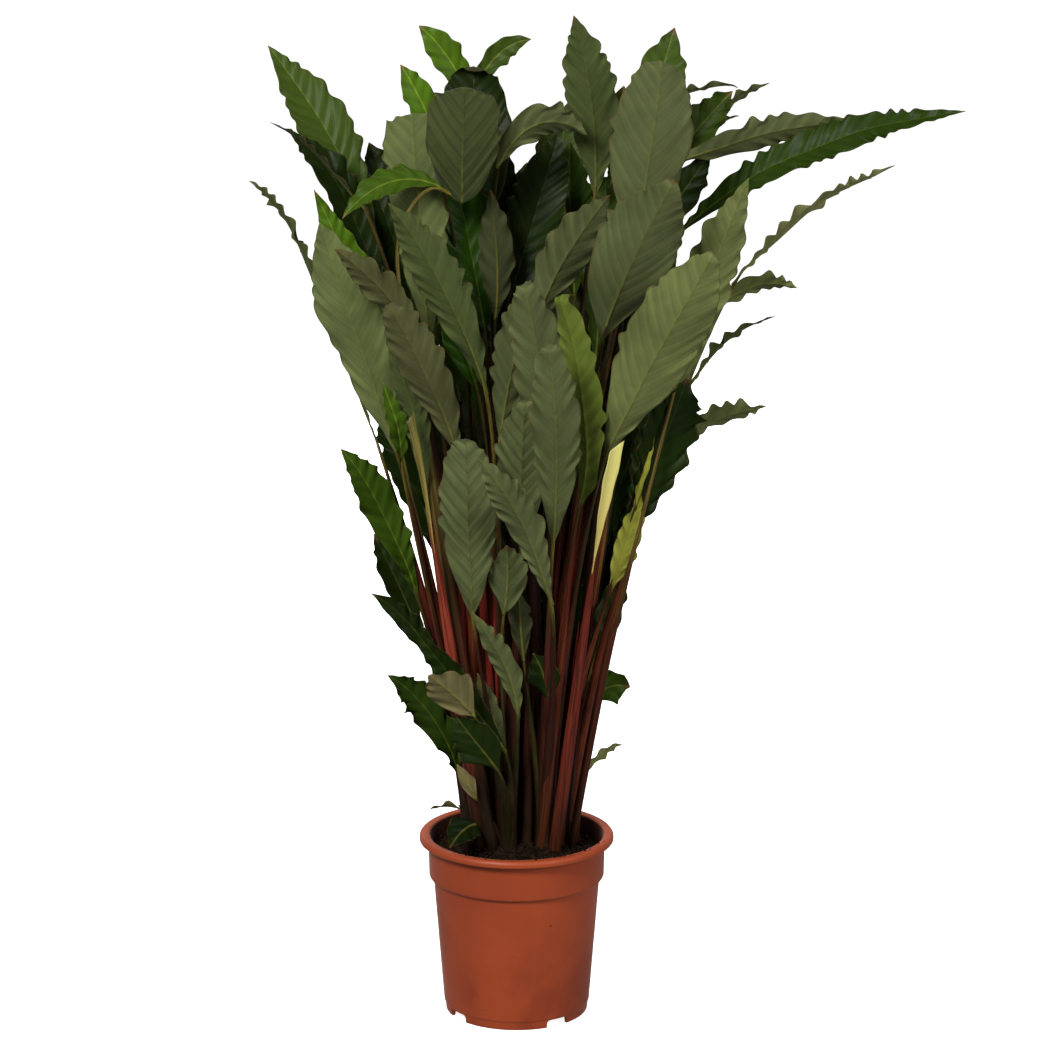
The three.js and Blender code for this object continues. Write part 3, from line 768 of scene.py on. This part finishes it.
def stalk_tube(leaf, thickness, past, draw, way=None):
    """A tube along the stalk's path. A smooth step takes its radius from the broad sheathing lower
    half to the slim upper part, it tapers once more under the blade, and a groove runs up its inner
    side. Its colour ripens from 380 to 580 mm high, and at the neck from 0.78 to 0.94 of its way."""
    steps = max(14, int(abs(leaf.base[2] - ROOT_HEIGHT) / 12))
    path, t = smooth_way(way, 2 * steps) if way else stalk_path(leaf, past, steps)
    along = unit(np.gradient(path, axis=0))
    side = unit(np.array([1.0, 0, 0]) - along * along[:, :1])
    back = np.cross(along, side)
    start = draw.uniform(0.15, 0.4) * (0.4 if way else 1)
    narrowing = ((t - start) / (0.3 if way else 0.5)).clip(0, 1)
    sheath = draw.uniform(1.8, 5.0) * (1 - narrowing**2 * (3 - 2 * narrowing))
    radius = thickness * (1.75 + sheath) * (1 - 0.5 * ((t - 0.93) / 0.07).clip(0, 1))
    from_inner = np.angle(np.exp(1j * (STALK_TURN - np.radians(leaf.facing))))
    groove = 1 - 0.22 * np.exp(-((from_inner / 0.5) ** 2))
    radius = radius * groove * (1 - 0.2 * np.abs(np.cos(from_inner)) * sheath / (sheath + 2))
    across = side[:, None] * np.cos(STALK_TURN)[:, None] + back[:, None] * np.sin(STALK_TURN)[:, None]
    low, between, high = (np.array(tint) * draw.uniform(0.4, 1.2) for tint in stalk_tints[leaf.stalk])
    ripe = ((path[:, 2:] - 380) / 200).clip(0, 1)
    neck = ((t - 0.78) / 0.16).clip(0, 1)
    tint = (low + (between - low) * ripe) * (1 - neck) + high * neck
    return tube(path[:, None] + across * radius[..., None], leaf.base[::2], t, tint[:, None])


def closed_sheet(rows, columns):
    """The faces of a thin sheet: a grid of upper points, the same grid of lower points, cut along the
    same diagonals, and the rim between them."""
    quads = grid_quads(rows, columns)
    last = rows * columns
    rim = np.concatenate([
        np.arange(columns - 1),
        np.arange(rows - 1) * columns + columns - 1,
        np.arange(last - 1, last - columns, -1),
        np.arange(rows - 1, 0, -1) * columns,
    ])
    onward = np.roll(rim, -1)
    edge = np.stack([rim, rim + last, onward + last, onward], axis=-1)
    return [quads, quads[:, [0, 3, 2, 1]] + last, edge]


# Short old sheaths that stand between the crowns: the place of the foot on the peat, the point of the
# tip, the tint and the radius
OLD_ROOT_HEIGHT, OLD_RINGS = 160, 26
old_sheaths = [
    ((-42, -14), (-56, -20, 330), "brown", 5.5), ((-30, -20), (-44, -34, 360), "red", 4.5),
    ((-22, -14), (-34, -34, 300), "brown", 5.5), ((10, -20), (12, -42, 380), "brown", 5.0),
    ((9, -2), (8, -10, 400), "brown", 5.0), ((40, -12), (60, -24, 400), "red", 4.5),
    ((44, -4), (60, -12, 330), "brown", 5.0), ((-2, 8), (-10, 12, 380), "brown", 5.0),
    ((24, 4), (34, 6, 410), "brown", 5.0), ((-30, 10), (-56, 18, 350), "brown", 5.5),
    ((34, 22), (56, 34, 380), "brown", 5.0), ((0, 30), (2, 58, 350), "brown", 5.0),
    ((-38, 18), (-66, 48, 330), "rust", 4.5), ((22, -26), (50, -70, 430), "rust", 4.5),
    ((36, -27), (76, -92, 500), "wine", 6.0), ((-32, -26), (-86, -84, 552), "scarlet", 6.5),
]


def sheath_tube(foot, tip, tone, thickness, draw):
    """A tube on a straight line, with a radius of r (1.01 - t^3). Its rings are flattened to 0.7 and
    slant down to the right, so it ends in a slanting point."""
    t = np.linspace(0, 1, OLD_RINGS)[:, None]
    foot, tip = np.array([*foot, OLD_ROOT_HEIGHT], float), np.array(tip, float)
    around = ring(1, STALK_TURN, -0.24 * np.cos(STALK_TURN)) * [1, 0.7, 1]
    rings = (foot + (tip - foot) * t)[:, None] + around * (thickness * (1.01 - t**3))[..., None]
    return tube(rings, foot[:2], t * 0.5, np.array(stalk_tints[tone][0]) * draw.uniform(0.65, 1.0))


draw = np.random.default_rng(77)
sheath_tubes = [sheath_tube(*row, draw) for row in old_sheaths]
sheaths = make_mesh("old_sheaths", [stalk_finish], *joined(sheath_tubes))
stand_in(sheaths, "stalk", "crown_2_stalks")

# Pale sheath edges that have come away from their stalks: the foot, the middle and the top, the
# width, and the colour at the top
pale_sheaths = [
    ((71, -88, 462), (82, -97, 530), (94, -99, 588), 13, linear(206, 200, 118)),
    ((-75, -72, 466), (-86, -88, 548), (-98, -94, 614), 6.5, linear(68, 68, 24)),
]


def sheath_strip(foot, middle, top, width, top_tint):
    """A thin hollow strip along a plain arc, as wide as sin(1.9 t)^1.3, that ends in a slanting edge.
    Its colour turns evenly from straw to the top's."""
    rows, columns = 40, 9
    foot, middle, top = (np.array(point, float) for point in (foot, middle, top))
    t = np.linspace(0, 1, rows)[:, None]
    u = np.linspace(-1, 1, columns)
    path = bend(foot, bow_of(foot, middle, top), top, t)
    half = width / 2 * np.maximum(0.08, np.sin(1.9 * t) ** 1.3)
    across = u * half * (1 + 0.06 * np.sin(23 * t + 2 * u))
    depth = 2.2 * (u**2) * half / width * 2
    flat = path[:, None] + across[..., None] * [0.95, 0.3, -0.1] - depth[..., None] * [0, 1, 0]
    flat = flat + (5 * u * t**12)[..., None] * [0.1, 0, 1]
    points = np.concatenate([flat + [0, -0.3, 0], flat + [0, 0.3, 0]]).reshape(-1, 3)
    skin = np.stack(np.broadcast_arrays(u + foot[0], 0, t * 0.6), axis=-1)
    tint = np.array(linear(190, 168, 92)) * (1 - t) + np.array(top_tint) * t
    tint = np.broadcast_to(tint[:, None], flat.shape)
    marks = {name: np.tile(mark.reshape(-1, 3), (2, 1)) for name, mark in (("skin", skin), ("tint", tint))}
    return points, closed_sheet(rows, columns), marks


pale_finish = Finish("pale_sheath", Roughness=0.5, Specular_IOR_Level=0.3)
lines = pale_finish.noise(pale_finish.stretched(pale_finish.mark("skin"), (3, 1, 2)), 2.0)
pale_tint = pale_finish.mixed(lines.step(0.4, 0.7) * 0.35, pale_finish.mark("tint"), linear(150, 138, 66))
pale_finish.vary("Base Color", pale_tint)
pale = make_mesh("pale_sheaths", [pale_finish], *joined([sheath_strip(*row) for row in pale_sheaths]))
stand_in(pale, "stalk", "crown_3_stalks")

HAIRS = 40


def stalk_hairs(stalk, draw):
    """Short pointed hairs of 4 faces on the upper half of a stalk's tube. Each stands on a drawn point
    of it and leans outwards and up."""
    rings = stalk[0].reshape(-1, STALK_SIDES, 3)
    row = draw.integers(len(rings) // 2, len(rings) - 1, HAIRS)
    side = draw.integers(0, STALK_SIDES, HAIRS)
    share = draw.uniform(0, 1, (HAIRS, 1))
    root = rings[row, side] * (1 - share) + rings[row + 1, side] * share
    middle = rings[row].mean(axis=1) * (1 - share) + rings[row + 1].mean(axis=1) * share
    outward = unit(root - middle)
    lean = unit(outward + [0, 0, 0.8] + draw.normal(0, 0.25, (HAIRS, 3)))
    sideways = unit(np.cross(lean, [0.3, 0.5, 0.8]))
    third = np.cross(lean, sideways)
    start = root - outward * 0.3
    corners = [
        start + 0.09 * (np.cos(angle) * sideways + np.sin(angle) * third)
        for angle in np.radians([0, 120, 240])
    ]
    tips = root + lean * draw.uniform(1.0, 2.2, (HAIRS, 1))
    hair_points = np.stack([*corners, tips], axis=1).reshape(-1, 3)
    first = np.arange(HAIRS)[:, None] * 4
    faces = np.concatenate([first + kind for kind in ([0, 1, 3], [1, 2, 3], [2, 0, 3], [2, 1, 0])])
    hair_marks = {
        "skin": hair_points * 0.01,
        "tint": np.broadcast_to(np.array(linear(120, 84, 48)), hair_points.shape),
    }
    return hair_points, [faces], hair_marks


for crown in range(1, 7):
    draw = np.random.default_rng(40 + crown)
    tubes = [
        stalk_tube(leaf, 1.0, 16, draw, stalk_ways.get(number))
        for number, leaf in enumerate(large_leaves, 1) if leaf.crown == crown
    ]
    tubes += [stalk_tube(leaf, 0.75, 9, draw) for leaf in small_leaves if leaf.crown == crown]
    for kind, parts in (("sheaf", tubes), ("hairs", [stalk_hairs(stalk, draw) for stalk in tubes])):
        stalks = make_mesh(f"crown_{crown}_{kind}", [stalk_finish], *joined(parts))
        stand_in(stalks, "stalk", f"crown_{crown}_stalks")

# Blades
# A blade is a long lance that grows on from its stalk, with a pale midrib that stands out below, soft
# pleats along its side veins and closely waved edges. It is dark and glossy above, grey-green and
# velvety below.

# The colours of a leaf's upper face and of its underside
leaf_tints = in_light({
    "deep": [(40, 60, 9), (72, 83, 43)],
    "mid": [(60, 78, 23), (87, 94, 56)],
    "bright": [(78, 110, 22), (97, 109, 52)],
    "young": [(100, 124, 34), (92, 107, 38)],
    "lime": [(124, 140, 40), (146, 148, 58)],
    "pale": [(104, 112, 60), (108, 116, 66)],
    # Painted shade: a much darker copy of the leaf colours, for leaves deep in shadow behind stalks and
    # other leaves
    "night": [(15, 25, 4), (42, 46, 24)],
    "vivid": [(36, 66, 4), (86, 97, 46)],
    "bronze": [(44, 58, 16), (80, 82, 48)],
    "moss": [(40, 52, 12), (65, 73, 38)],
    "fresh": [(62, 88, 18), (102, 113, 65)],
    # A darker copy of the leaf colours, partly a darker green of their own and partly painted shade, for
    # leaves in the shade of others
    "dusky": [(27, 41, 7), (56, 60, 33)],
    "beige": [(48, 56, 26), (116, 108, 70)],
    "tan": [(112, 118, 70), (126, 130, 80)],
})


def blade_finish(name, midrib, yellow, veins, pleat_shade, sign, depth, roughness, **fixed):
    """Colour from the leaf's own tint, a paler midrib that starts out yellow, paler side veins with
    painted highlight, painted shade along the pleats and drawn-out mottling. The pleats stand out
    where sign is 1 and sink in where it is -1. The mark `lie` holds the place across the blade from
    -1 to 1, the number of pleats from its base, and the distance from the midrib in metres."""
    finish = Finish(name, **fixed)
    across, pleats, away = finish.mark("lie").parts()
    tint = finish.mark("tint")
    spot = finish.place()
    mottle = finish.noise(spot, 55, detail=4)
    fine = finish.noise(spot, 700, detail=2)
    rib = 1 - (away * (pleats * 0.09 + 0.9)).step(0.0005, 0.0014)
    pleat = pleats.ridge(1, 1)
    vein = (pleats + 0.25).ridge(1, 3)
    between = pleats.ridge(0.25, 4)
    rim = across.math("ABSOLUTE", across).step(0.955, 0.985)
    drawn_out = finish.stretched(finish.mark("lie"), (1.5, 3.2, 0))
    streaks = finish.noise(drawn_out, 1.6, detail=4, roughness=0.6)
    colour = finish.mixed(mottle.step(0.35, 0.7) * 0.3, tint, (0.5, 0.5, 0.5), "MULTIPLY")
    colour = finish.mixed(streaks.step(0.38, 0.7) * 0.16, colour, (0.45, 0.45, 0.4), "MULTIPLY")
    # Painted shade along the pleats
    colour = finish.mixed(pleat * pleat_shade, colour, linear(18, 22, 8))
    # Paler side veins: partly their own colour, partly a painted highlight along the pleats
    colour = finish.mixed(vein * veins, colour, (1.6, 1.6, 1.6), "MULTIPLY")
    colour = finish.mixed(rib, colour, midrib, "MULTIPLY")
    colour = finish.mixed(rib * (1 - pleats.step(-1, 7)) * yellow, colour, linear(124, 116, 48))
    colour = finish.mixed(rim * 0.5, colour, linear(86, 62, 36))
    finish.vary("Base Color", colour)
    finish.vary("Roughness", fine * roughness[0] + roughness[1])
    finish.relief(pleat * sign + vein * (0.25 * sign) + between * 0.05 + fine * 0.05, depth * MM)
    return finish


upper_finish = blade_finish(
    "glossy_upper_face", midrib=(2.2, 1.8, 2.4), yellow=0.4, veins=0.15, pleat_shade=0.18, sign=-1,
    depth=0.7, roughness=(0.12, 0.34), Specular_IOR_Level=0.08,
)
velvet = {
    "roughness": (0.15, 0.68), "Specular_IOR_Level": 0.12, "Sheen_Weight": 0.03, "Sheen_Roughness": 0.4,
}
under_finish = blade_finish(
    "velvety_under_face", midrib=(1.2, 1.15, 0.75), yellow=0.7, veins=0.4, pleat_shade=0.13, sign=1,
    depth=0.55, **velvet
)
ribbed_finish = blade_finish(
    "ribbed_under_face", midrib=(0.9, 0.9, 0.7), yellow=0.4, veins=0.8, pleat_shade=0.36, sign=1,
    depth=1.1, **velvet
)

BLADE_COLUMNS = np.concatenate([np.linspace(-1, -0.07, 13), [-0.03, 0, 0.03], np.linspace(0.07, 1, 13)])
PLEAT = 15.0
FOLD = np.radians(13)
DRY_TIP = linear(92, 66, 38)


def leaf_blade(leaf, row_length, draw, ruffle, slimness=0.85, curl=None):
    """A thin closed sheet along the midrib's plain arc. Half its width is w/2 sin(pi t^1.2)^slimness,
    drawn in to 0.7 of that at the tip. Both halves fold up. Towards its edge it is waved up and down
    and scalloped along curved side veins: the vein at s along the midrib and x away from it starts
    out at s - x - 0.01 x^2. There is a pleat for each PLEAT of the midrib. A curled tip follows an
    arc of its radius towards the upper side, and then runs straight."""
    base, tip, width = leaf.base, leaf.tip, leaf.width
    bow = bow_of(base, leaf.middle, tip)
    fine = np.linspace(0, 1, 200)[:, None]
    walked = np.linalg.norm(np.diff(bend(base, bow, tip, fine), axis=0), axis=1)
    walked = np.concatenate([[0], np.cumsum(walked)])
    length = walked[-1]
    rows = int(length / row_length)
    t = np.interp(np.linspace(0, length, rows), walked, fine[:, 0])[:, None]
    s = np.linspace(0, length, rows)[:, None]
    centre = bend(base, bow, tip, t)
    along = unit((1 - t) * (bow - base) + t * (tip - bow))
    bearing, sky, twist = np.radians([leaf.facing, leaf.tilt, leaf.twist])
    look = np.array([np.cos(bearing) * np.cos(sky), np.sin(bearing) * np.cos(sky), np.sin(sky)])
    up = unit(look - along * (along @ look)[:, None])
    turned = twist * (t - 0.5)
    up = up * np.cos(turned) + np.cross(along, up) * np.sin(turned)
    across = np.cross(along, up)
    if curl:
        start, radius, most = curl
        first = int(start * rows)
        rest = slice(first, rows)
        turned = ((s[rest] - s[first]) / radius).clip(0, np.radians(most))
        past = s[rest] - s[first] - turned * radius
        straight, raised = along[first].copy(), up[first].copy()
        along[rest] = np.cos(turned) * straight + np.sin(turned) * raised
        up[rest] = np.cos(turned) * raised - np.sin(turned) * straight
        across[rest] = across[first]
        arch = radius * (np.sin(turned) * straight + (1 - np.cos(turned)) * raised)
        centre[rest] = centre[first] + arch + past * along[rest]

    u = BLADE_COLUMNS[None]
    edge = np.abs(u)
    half = np.maximum(2 - 1.4 * t, width / 2 * np.sin(np.pi * t**1.2) ** slimness)
    half = half * (1 - 0.3 * ((t - 0.72) / 0.28).clip(0, 1) ** 1.5)
    x = u * half
    q = s - np.abs(x) - 0.01 * x**2
    side_phase = np.where(u < 0, draw.uniform(0, 6), draw.uniform(0, 6))
    wander = 1.9 * np.sin(2 * np.pi * q / draw.uniform(70, 110) + side_phase)
    calm = np.clip(max((width - 44) / 30, 3 * (0.85 - slimness)), 0, 1)
    wave_length = draw.uniform(17, 23) + 6 * calm
    phase = 2 * np.pi * q / wave_length + wander + side_phase
    pleats = q / PLEAT + 0.06 * wander
    swell = 1 + 0.45 * np.sin(2 * np.pi * q / draw.uniform(50, 90) + np.where(u < 0, 0, 2))
    ends = (np.minimum(t, 1 - t) * 9).clip(0, 1)
    height = ruffle * (2.9 - 1.1 * calm) * np.minimum(1, half / 9) * ends * swell
    wave = height * edge**2.6 * (np.cos(phase) + 0.3 * np.cos(0.57 * phase + 2))
    slow = 0.05 * width * edge**1.5 * np.sin(2 * np.pi * s / draw.uniform(80, 130) + side_phase) * ends
    pleat = 0.8 * ruffle**2 * edge * (1 - edge) * np.cos(2 * np.pi * pleats) * np.minimum(1, half / 15)
    fold = half * np.sin(FOLD) * edge**1.3
    lobes = 0.75 * np.cos(phase + 0.9) + 0.45 * np.cos(0.61 * phase + 1)
    scallop = 1 + ruffle * (0.11 - 0.06 * calm) * edge**2.2 * lobes * ends * swell
    sway = np.sin(2 * np.pi * s / draw.uniform(90, 140) + draw.uniform(0, 6))
    middle_line = centre + up * 1.5 * sway * ends

    thick = 0.55 - 0.25 * edge
    rib = np.exp(-((x / 1.2) ** 2))
    flat = middle_line[:, None] + across[:, None] * (x * scallop * np.cos(FOLD))[..., None]
    level = fold + wave + slow + pleat
    upper = flat + up[:, None] * (level + thick / 2 - 0.3 * rib)[..., None]
    ridge = (0.25 + 0.95 * (1 - t)) * rib
    lower = flat + up[:, None] * (level - thick / 2 - ridge)[..., None]

    columns = len(BLADE_COLUMNS)
    points = np.concatenate([upper.reshape(-1, 3), lower.reshape(-1, 3)])
    lie = np.stack([u * np.ones_like(s), pleats, np.abs(x) * MM], axis=-1).reshape(-1, 3)
    tone = draw.uniform(0.88, 1.12)
    dry = ((s - length + 9) / 7).clip(0, 1)[..., None] * draw.choice([0, 0.2, 0.8])
    tints = [
        np.array(tint) * tone * (1 - dry) + np.array(DRY_TIP) * dry + np.zeros((rows, columns, 1))
        for tint in leaf_tints[leaf.tint]
    ]
    marks = {"lie": np.tile(lie, (2, 1)), "tint": np.concatenate(tints).reshape(-1, 3)}
    return points, closed_sheet(rows, columns), marks


def make_blades(name, node, blades, below):
    """Blades as one object, glossy above and round the rim, with another finish below."""
    points, faces, marks = joined(blades)
    kinds = np.concatenate([np.full(len(part), kind) for part, kind in zip(faces, (0, 1, 0))])
    stand_in(make_mesh(name, [upper_finish, below], points, faces, marks, kinds), "leaf", node)


for number, leaf in enumerate(large_leaves, 1):
    draw = np.random.default_rng(100 + number)
    ruffle = 1.9 if number in ruffled_leaves else 0.85 if leaf.facing < 0 else 1.0
    slimness = full_blades.get(number, 0.85)
    blade = leaf_blade(leaf, 2.1, draw, ruffle, slimness, curled_tips.get(number))
    below = ribbed_finish if number in ribbed_leaves else under_finish
    make_blades(f"blade_{number:02d}", f"leaf_{number:02d}", [blade], below)

for crown in range(1, 7):
    blades = [
        leaf_blade(leaf, 2.6, np.random.default_rng(300 + number), 1.1)
        for number, leaf in enumerate(small_leaves) if leaf.crown == crown
    ]
    make_blades(f"crown_{crown}_small_blades", f"crown_{crown}_stalks", blades, under_finish)
